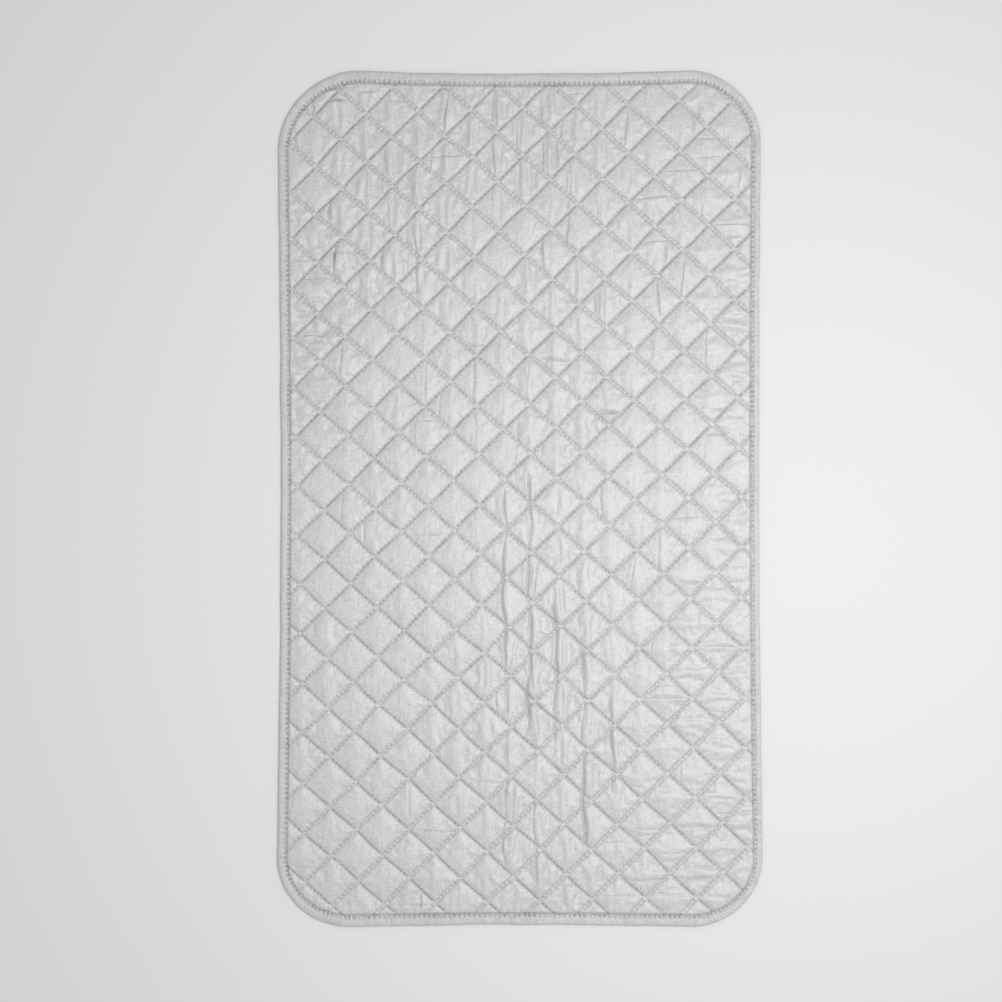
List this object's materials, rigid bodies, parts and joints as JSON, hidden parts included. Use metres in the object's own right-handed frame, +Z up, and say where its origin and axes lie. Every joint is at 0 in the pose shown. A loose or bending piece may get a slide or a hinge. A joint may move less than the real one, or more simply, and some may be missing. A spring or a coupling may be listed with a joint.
{
  "type": "ironing pad",
  "caption": "Flat rectangular quilted ironing pad with rounded corners, a silvered cotton top, soft wadding and a bound edge. It folds in half lengthwise.",
  "frame": {"origin": "on the surface that the pad lies on, under the middle of the pad", "axes": "+X across the pad from the left leaf to the right leaf, +Y along the pad, +Z up out of the silvered face"},
  "size_m": [0.48, 0.85, 0.0074],
  "materials": {
    "cover": "satin",
    "wadding": "matte",
    "backing": "matte",
    "binding": "matte",
    "thread": "matte"
  },
  "bodies": {
    "left_leaf": {"left_top_cover": "cover", "left_wadding": "wadding", "left_backing": "backing", "left_edge_binding": "binding", "left_binding_thread": "thread", "left_quilting_thread_1": "thread", "left_quilting_thread_2": "thread", "left_quilting_thread_3": "thread", "left_quilting_thread_4": "thread", "left_quilting_thread_5": "thread", "left_quilting_thread_6": "thread", "left_quilting_thread_7": "thread", "left_quilting_thread_8": "thread", "left_quilting_thread_9": "thread"},
    "right_leaf": {"right_top_cover": "cover", "right_wadding": "wadding", "right_backing": "backing", "right_edge_binding": "binding", "right_binding_thread": "thread", "right_quilting_thread_1": "thread", "right_quilting_thread_2": "thread", "right_quilting_thread_3": "thread", "right_quilting_thread_4": "thread", "right_quilting_thread_5": "thread", "right_quilting_thread_6": "thread", "right_quilting_thread_7": "thread", "right_quilting_thread_8": "thread", "right_quilting_thread_9": "thread"}
  },
  "joints": [
    {"name": "fold", "type": "hinge", "parent": "left_leaf", "child": "right_leaf", "pos_m": [0, 0, 0.00755], "axis": [0, -1, 0], "range_deg": [0, 180]}
  ]
}
